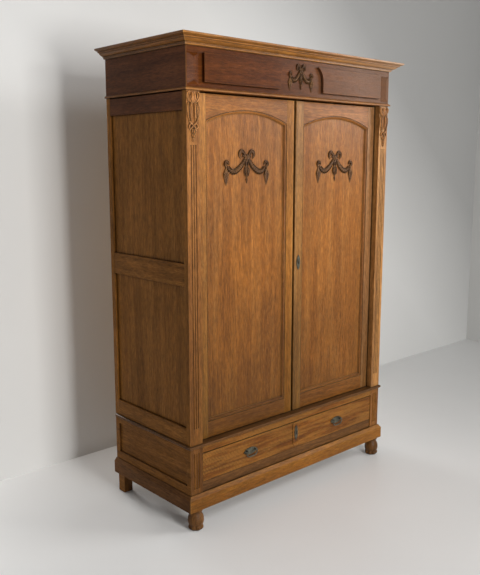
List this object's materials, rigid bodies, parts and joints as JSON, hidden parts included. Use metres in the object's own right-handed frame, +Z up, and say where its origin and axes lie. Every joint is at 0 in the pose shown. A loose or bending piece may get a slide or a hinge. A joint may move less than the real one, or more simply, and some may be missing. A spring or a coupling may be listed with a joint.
{
  "type": "armoire",
  "caption": "Oak armoire: arched panel doors on pivots over a full-width drawer base, with carved swags, frieze and moulded cornice.",
  "frame": {"origin": "on the floor, under the middle of the overall box", "axes": "+Z up, +X to the right seen from the front, the doors and drawer face -Y"},
  "size_m": [1.4, 0.629, 2.06],
  "materials": {
    "oak_case": "waxed quartersawn oak, mid brown",
    "oak_door": "waxed quartersawn oak, warm brown",
    "oak_dark": "waxed oak, dark reddish brown",
    "oak_gold": "waxed oak, golden brown with worn edges",
    "oak_inner": "plain unfinished oak boards inside",
    "old_brass": "aged grey-green brass",
    "iron": "dull dark iron"
  },
  "bodies": {
    "case": {"back_panel": "oak_inner", "base_front_rail": "oak_case", "base_side_left": "oak_case", "base_side_right": "oak_case", "base_sill": "oak_case", "base_top": "oak_case", "cap_top": "oak_inner", "cornice_front": "oak_gold", "cornice_left": "oak_gold", "cornice_right": "oak_gold", "foot_front_left": "oak_case", "foot_front_right": "oak_case", "frieze_front": "oak_dark", "frieze_left": "oak_dark", "frieze_right": "oak_dark", "frieze_swag": "oak_dark", "hanging_rail": "oak_inner", "pivot_pin_bottom_left": "iron", "pivot_pin_bottom_right": "iron", "pivot_pin_top_left": "iron", "pivot_pin_top_right": "iron", "plinth_front": "oak_gold", "plinth_left": "oak_case", "plinth_right": "oak_case", "post_back_left": "oak_case", "post_back_right": "oak_case", "post_front_left": "oak_case", "post_front_right": "oak_case", "side_panel_left": "oak_case", "side_panel_right": "oak_case", "side_rail_bottom_left": "oak_case", "side_rail_bottom_right": "oak_case", "side_rail_middle_left": "oak_case", "side_rail_middle_right": "oak_case", "side_rail_top_left": "oak_case", "side_rail_top_right": "oak_case"},
    "door_left": {"door_left_bottom_rail": "oak_door", "door_left_meeting_stile": "oak_door", "door_left_outer_stile": "oak_door", "door_left_panel": "oak_door", "door_left_swag": "oak_dark", "door_left_top_rail": "oak_door"},
    "door_right": {"door_right_bottom_rail": "oak_door", "door_right_meeting_stile": "oak_door", "door_right_outer_stile": "oak_door", "door_right_panel": "oak_door", "door_right_swag": "oak_dark", "door_right_top_rail": "oak_door", "door_escutcheon": "old_brass"},
    "lock_bolt": {"door_lock_bolt": "iron"},
    "drawer": {"drawer_back": "oak_inner", "drawer_bottom": "oak_inner", "drawer_escutcheon": "old_brass", "drawer_front": "oak_case", "drawer_pull_plate_left": "old_brass", "drawer_pull_plate_right": "old_brass", "drawer_side_left": "oak_inner", "drawer_side_right": "oak_inner"},
    "bail_left": {"drawer_bail_left": "old_brass"},
    "bail_right": {"drawer_bail_right": "old_brass"}
  },
  "joints": [
    {"name": "door_left_hinge", "type": "hinge", "parent": "case", "child": "door_left", "pos_m": [-0.571, -0.2255, 1.1], "axis": [0, 0, -1], "range_deg": [0, 90]},
    {"name": "door_right_hinge", "type": "hinge", "parent": "case", "child": "door_right", "pos_m": [0.571, -0.2255, 1.1], "axis": [0, 0, 1], "range_deg": [0, 90]},
    {"name": "lock_bolt_slide", "type": "slide", "parent": "door_right", "child": "lock_bolt", "axis": [-1, 0, 0], "range_m": [0, 0.01]},
    {"name": "drawer_slide", "type": "slide", "parent": "case", "child": "drawer", "axis": [0, -1, 0], "range_m": [0, 0.36]},
    {"name": "bail_left_hinge", "type": "hinge", "parent": "drawer", "child": "bail_left", "pos_m": [-0.299, -0.2715, 0.28], "axis": [-1, 0, 0], "range_deg": [0, 85]},
    {"name": "bail_right_hinge", "type": "hinge", "parent": "drawer", "child": "bail_right", "pos_m": [0.299, -0.2715, 0.28], "axis": [-1, 0, 0], "range_deg": [0, 85]}
  ]
}
